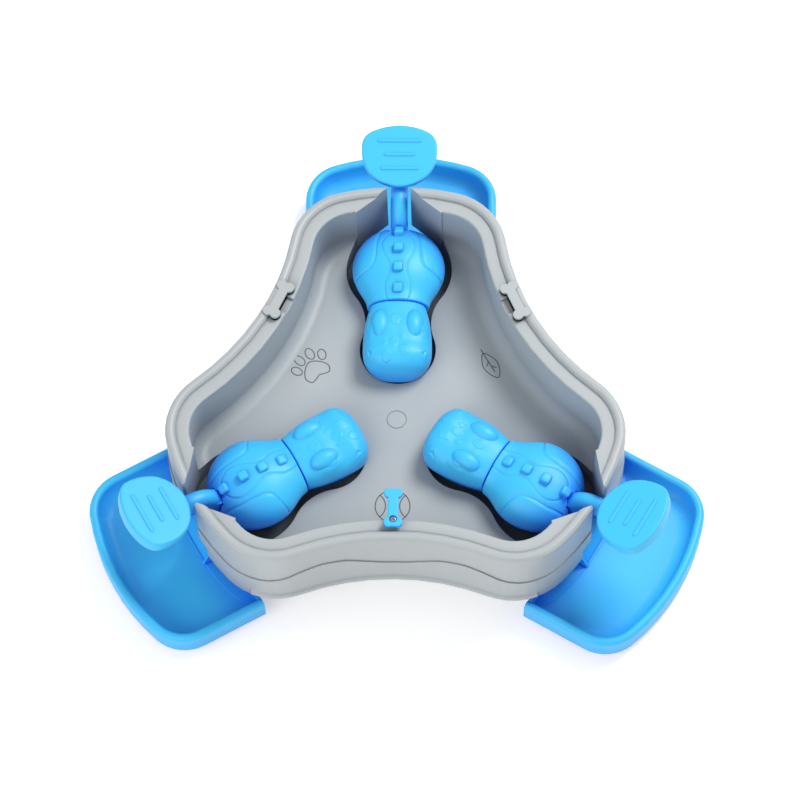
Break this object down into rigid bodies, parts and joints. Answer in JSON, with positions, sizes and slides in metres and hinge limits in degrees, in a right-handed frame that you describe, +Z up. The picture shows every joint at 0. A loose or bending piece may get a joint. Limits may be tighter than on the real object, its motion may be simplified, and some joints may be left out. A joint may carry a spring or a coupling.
{
  "type": "dog puzzle feeder",
  "caption": "Slow-feeding puzzle bowl with three lobes; pressing a paddle rocks a dinosaur in its pit and lets food slide into a pull-out catch tray.",
  "frame": {"origin": "on the three-fold axis of the bowl at the ground, in the middle of the underside of the centre foot", "axes": "+Z up, +Y towards the rear lobe, +X to the right seen from the front, where the turning latch is"},
  "size_m": [0.375, 0.3374, 0.09],
  "materials": {
    "grey_plastic": "satin",
    "blue_plastic": "satin",
    "steel": "satin",
    "rubber": "matt"
  },
  "bodies": {
    "frame": {"bowl": "grey_plastic", "base": "grey_plastic", "base_screws": "steel", "rubber_feet": "rubber", "latch_screw": "steel", "pivot_pin_rear": "steel", "pivot_pin_left": "steel", "pivot_pin_right": "steel"},
    "latch": {"cover_latch": "blue_plastic"},
    "tray_rear": {"catch_tray_rear": "blue_plastic"},
    "lever_rear": {"lever_arm_rear": "blue_plastic", "paddle_rear": "blue_plastic", "dino_body_rear": "blue_plastic", "dino_head_rear": "blue_plastic", "dino_belly_rear": "blue_plastic", "lever_screws_rear": "steel"},
    "tray_left": {"catch_tray_left": "blue_plastic"},
    "lever_left": {"lever_arm_left": "blue_plastic", "paddle_left": "blue_plastic", "dino_body_left": "blue_plastic", "dino_head_left": "blue_plastic", "dino_belly_left": "blue_plastic", "lever_screws_left": "steel"},
    "tray_right": {"catch_tray_right": "blue_plastic"},
    "lever_right": {"lever_arm_right": "blue_plastic", "paddle_right": "blue_plastic", "dino_body_right": "blue_plastic", "dino_head_right": "blue_plastic", "dino_belly_right": "blue_plastic", "lever_screws_right": "steel"}
  },
  "joints": [
    {"name": "latch_turn", "type": "hinge", "parent": "frame", "child": "latch", "pos_m": [0, -0.0866, 0.0835], "axis": [0, 0, 1], "range_deg": [-90, 90]},
    {"name": "lever_rear_press", "type": "hinge", "parent": "frame", "child": "lever_rear", "pos_m": [0, 0.117, 0.043], "axis": [-1, 0, 0], "range_deg": [0, 12]},
    {"name": "tray_rear_pull", "type": "slide", "parent": "frame", "child": "tray_rear", "axis": [0, 1, 0], "range_m": [0, 0.06]},
    {"name": "lever_left_press", "type": "hinge", "parent": "frame", "child": "lever_left", "pos_m": [-0.10132, -0.0585, 0.043], "axis": [0.5, -0.866, 0], "range_deg": [0, 12]},
    {"name": "tray_left_pull", "type": "slide", "parent": "frame", "child": "tray_left", "axis": [-0.866, -0.5, 0], "range_m": [0, 0.06]},
    {"name": "lever_right_press", "type": "hinge", "parent": "frame", "child": "lever_right", "pos_m": [0.10132, -0.0585, 0.043], "axis": [0.5, 0.866, 0], "range_deg": [0, 12]},
    {"name": "tray_right_pull", "type": "slide", "parent": "frame", "child": "tray_right", "axis": [0.866, -0.5, 0], "range_m": [0, 0.06]}
  ]
}
